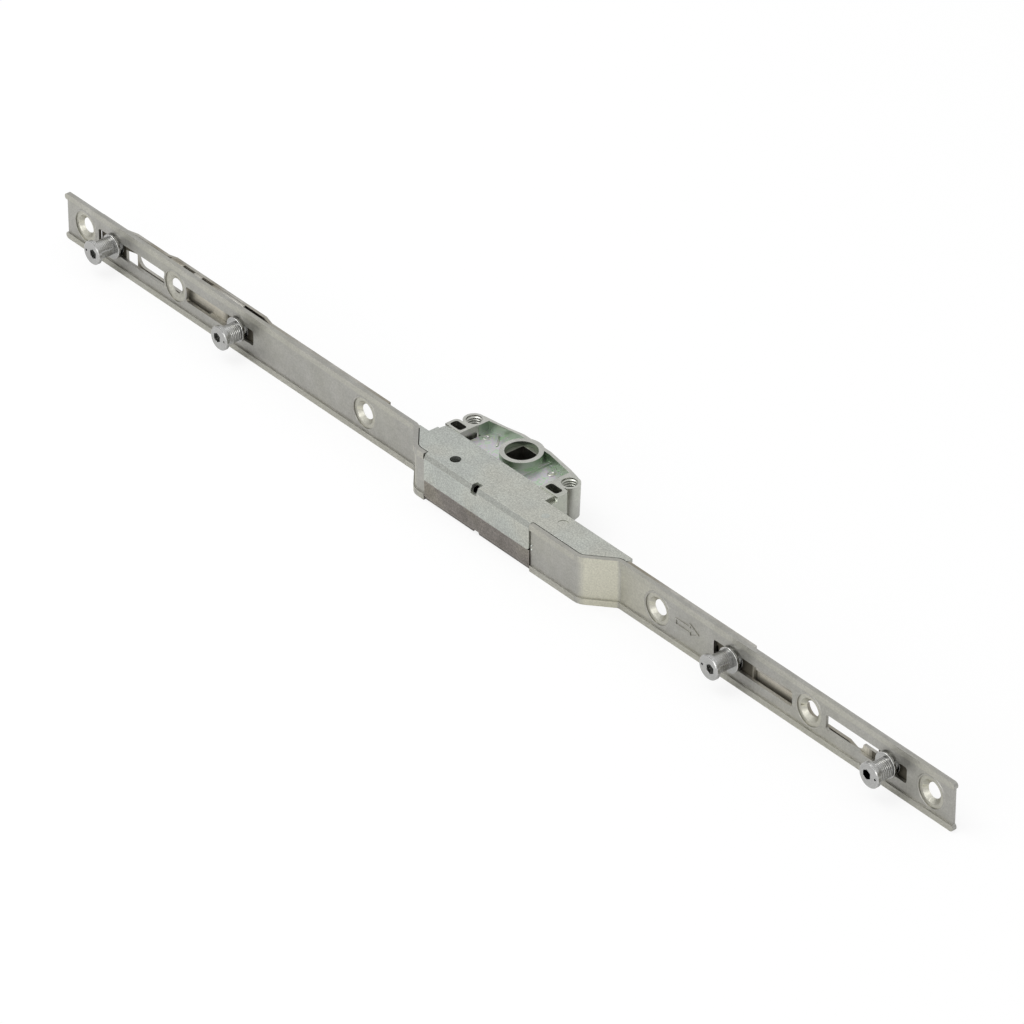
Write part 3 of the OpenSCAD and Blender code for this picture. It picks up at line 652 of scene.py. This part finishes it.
def make_neck_rings():
    """Turned rings round the necks of two cams, and fainter ones on the other two."""
    neck_r, neck_start, neck_end = 2.85, 0.85, 6.15
    pitch, inside = 0.62, 2.65
    skin = neck_r + 0.01
    for i, x in CAM_X.items():
        ring_r = neck_r + (0.12 if i in (2, 4) else 0.04)
        points = []
        for k in range(int((neck_end - neck_start) / pitch)):
            start = neck_start + 0.1 + k * pitch
            points += [(skin, start), (ring_r, start + 0.2 * pitch),
                       (ring_r, start + 0.65 * pitch), (skin, start + 0.85 * pitch)]
        outline = [(inside, points[0][1])] + points + [(inside, points[-1][1])]
        bm = bmesh.new()
        closed_turning(bm, [(r, BACKSET + h) for r, h in outline], (x, 0, 0), (0, -1, 0), 64)
        placed("neck_rings_%d" % i, bm, "cam_%d" % i, "cam_steel")


def make_dish_rims():
    """Low rims that the press raises round the screw dishes."""
    web = BACKSET - WEB_SUNK
    profile = [(4.98, -0.25), (4.98, 0.03), (5.12, 0.13), (5.32, 0.15), (5.52, 0.1), (5.66, 0.0),
               (5.66, -0.25)]
    bm = bmesh.new()
    for x in SCREW_X:
        closed_turning(bm, [(r, web + h) for r, h in profile], (x, 0, 0), (0, -1, 0), 72)
    placed("dish_rims", bm, "casing", "faceplate_steel")


def make_arrow():
    """Embossed outline of an arrow on the right half of the strip, which shows the way of travel."""
    tail, neck, tip, middle = 84.9, 90.9, 95.1, 0.4
    shaft, barb, line, height = 1.1, 2.3, 0.38, 0.25
    web = -(BACKSET - WEB_SUNK) * MM
    outline = [(tail, shaft), (neck, shaft), (neck, barb), (tip, 0.0), (neck, -barb), (neck, -shaft),
               (tail, -shaft)]
    bm = bmesh.new()
    face = bm.faces.new([bm.verts.new((x * MM, web, (z + middle) * MM)) for x, z in outline])
    bm.normal_update()
    bmesh.ops.inset_region(bm, faces=[face], thickness=line * MM, use_boundary=True,
                           use_even_offset=True)
    bmesh.ops.delete(bm, geom=[face], context="FACES")
    draw_out(bm, bm.faces[:], (0, -height * MM, 0))
    placed("arrow", bm, "casing", "faceplate_steel", 20.0)


def make_weld_spots():
    """Two spots of weld in the gap where the right half of the strip meets the casing."""
    gap_x, depth = 31.05, RAISED - 0.55
    bm = bmesh.new()
    for height in (0.9, -0.5):
        place = Matrix.Translation(Vector((gap_x, -depth, height)) * MM)
        bmesh.ops.create_uvsphere(bm, u_segments=20, v_segments=12, radius=0.42 * MM, matrix=place)
    placed("weld_spots", bm, "casing", "rivet_steel")


def make_rod_pads():
    """Pads pressed out of the upper rod's top edge, which keep it off the back of the strip."""
    back, front, low, high = 12.35, 13.42, 6.9, 7.88
    bm = bmesh.new()
    for start, end in ((-149.0, -143.0), (-137.8, -134.0), (-128.7, -113.5)):
        middle = Vector(((start + end) / 2, -(back + front) / 2, (low + high) / 2)) * MM
        size = Vector((end - start, front - back, high - low)) * MM
        place = Matrix.Translation(middle) @ Matrix.Diagonal(size).to_4x4()
        bmesh.ops.create_cube(bm, size=1.0, matrix=place)
    round_off(bm, bm.edges[:], 0.2)
    placed("rod_pads", bm, "rod_a", "rod_steel")


def make_cast_rib():
    """Low rib that crosses the left half of the recess."""
    start, end = Vector((-13.0, 2.45, 0)) * MM, Vector((-9.5, -1.3, 0)) * MM
    along = (end - start).normalized()
    side = Vector((-along.y, along.x, 0)) * 0.3 * MM
    base = RECESS_FLOOR - 0.05
    corners = [start - side, start + side, end + side, end - side]
    bm = bmesh.new()
    face = bm.faces.new([bm.verts.new((c.x, c.y, base * MM)) for c in corners])
    draw_out(bm, [face], (0, 0, 0.55 * MM))
    above = (base + 0.1) * MM
    round_off(bm, [e for e in bm.edges if min(v.co.z for v in e.verts) > above], 0.15)
    placed("cast_rib", bm, "casing", "die_casting")


def make_ejector_marks():
    """Two round marks of the ejector pins on the floor of the recess."""
    ring = [(0.75, -0.05), (0.75, 0.12), (0.95, 0.2), (1.15, 0.12), (1.15, -0.05)]
    for name, x, y in (("left", -15.2, -0.6), ("right", 11.4, 1.6)):
        bm = bmesh.new()
        closed_turning(bm, [(r, RECESS_FLOOR + h) for r, h in ring], (x, y, 0), (0, 0, 1), 32)
        placed("ejector_mark_" + name, bm, "casing", "die_casting")


make_threads()
make_neck_rings()
make_dish_rims()
make_arrow()
make_weld_spots()
make_rod_pads()
make_cast_rib()
make_ejector_marks()


# Camera at the photograph's place

AZIMUTH = math.radians(50.326)
ELEVATION = math.radians(33.717)
DISTANCE = 2030.7 * MM
LENS = 247.3
ASIDE = -2.75 * MM
DOWN = -10.77 * MM

right = Vector((math.cos(AZIMUTH), math.sin(AZIMUTH), 0))
back = Vector((math.sin(AZIMUTH) * math.cos(ELEVATION), -math.cos(AZIMUTH) * math.cos(ELEVATION),
               math.sin(ELEVATION)))
up = back.cross(right)
camera_data = bpy.data.cameras.new("camera")
camera_data.lens = LENS
camera_data.sensor_width = 36
camera = bpy.data.objects.new("camera", camera_data)
scene.collection.objects.link(camera)
turn = Matrix((right, up, back)).transposed().to_4x4()
camera.matrix_world = Matrix.Translation(right * ASIDE + up * DOWN + back * DISTANCE) @ turn
scene.camera = camera


# Floor, world and lamps

WHITE = (1, 1, 1, 1)


def camera_white(nodes, link, shader, white, share):
    """Mixes plain white into what the camera sees, also through glass."""
    path = add(nodes, "ShaderNodeLightPath", "ray")
    seen = add(nodes, "ShaderNodeMath", "seen", operation="MAXIMUM")
    link(path.outputs["Is Camera Ray"], seen.inputs[0])
    link(path.outputs["Is Transmission Ray"], seen.inputs[1])
    part = add(nodes, "ShaderNodeMath", "share", operation="MULTIPLY")
    link(seen.outputs[0], part.inputs[0])
    part.inputs[1].default_value = share
    both = add(nodes, "ShaderNodeMixShader", "white or lit")
    link(part.outputs[0], both.inputs[0])
    link(shader, both.inputs[1])
    link(white, both.inputs[2])
    return both.outputs[0]


def make_floor():
    """Pale floor just under the part, which keeps a soft shadow."""
    half, gap = 4.0, 0.02 * MM
    bm = bmesh.new()
    bmesh.ops.create_grid(bm, x_segments=1, y_segments=1, size=half)
    bmesh.ops.translate(bm, verts=bm.verts, vec=(0, 0, cad_box[0].z - gap))
    floor = add_object("floor", bm)
    mat = bpy.data.materials.new("pale_floor")
    mat.use_nodes = True
    nodes, link = mat.node_tree.nodes, mat.node_tree.links.new
    nodes.clear()
    lit = add(nodes, "ShaderNodeBsdfDiffuse", "lit", in_Color=(0.8, 0.8, 0.8, 1))
    white = add(nodes, "ShaderNodeEmission", "white", in_Color=WHITE, in_Strength=1.03)
    out = add(nodes, "ShaderNodeOutputMaterial", "out")
    link(camera_white(nodes, link, lit.outputs[0], white.outputs[0], 0.8), out.inputs["Surface"])
    floor.data.materials.append(mat)


def make_world():
    """Soft studio light that is brighter above, with a white backdrop."""
    world = bpy.data.worlds.new("studio")
    scene.world = world
    world.use_nodes = True
    nodes, link = world.node_tree.nodes, world.node_tree.links.new
    nodes.clear()
    where = add(nodes, "ShaderNodeTexCoord", "direction")
    apart = add(nodes, "ShaderNodeSeparateXYZ", "height")
    link(where.outputs["Generated"], apart.inputs[0])
    level = spread(nodes, link, apart.outputs["Z"], -0.2, 1.0, 0.45, 0.95, "brighter above")
    light = add(nodes, "ShaderNodeBackground", "light", in_Color=WHITE)
    link(level, light.inputs["Strength"])
    white = add(nodes, "ShaderNodeBackground", "white", in_Color=WHITE, in_Strength=1.0)
    out = add(nodes, "ShaderNodeOutputWorld", "out")
    link(camera_white(nodes, link, light.outputs[0], white.outputs[0], 1.0), out.inputs["Surface"])


def make_lamp(name, place, size, power):
    """Soft lamp at a place, turned to the origin."""
    data = bpy.data.lights.new(name, "AREA")
    data.shape = "RECTANGLE"
    data.size, data.size_y = size
    data.energy = power
    lamp = bpy.data.objects.new(name, data)
    lamp.location = place
    lamp.rotation_euler = (-Vector(place)).to_track_quat("-Z", "Y").to_euler()
    scene.collection.objects.link(lamp)


make_floor()
make_world()
make_lamp("key", (-0.6, -0.5, 1.4), (1.2, 0.8), 9)
make_lamp("front", (0.5, -1.6, 0.4), (1.4, 0.7), 7)
scene.view_settings.view_transform = "Standard"
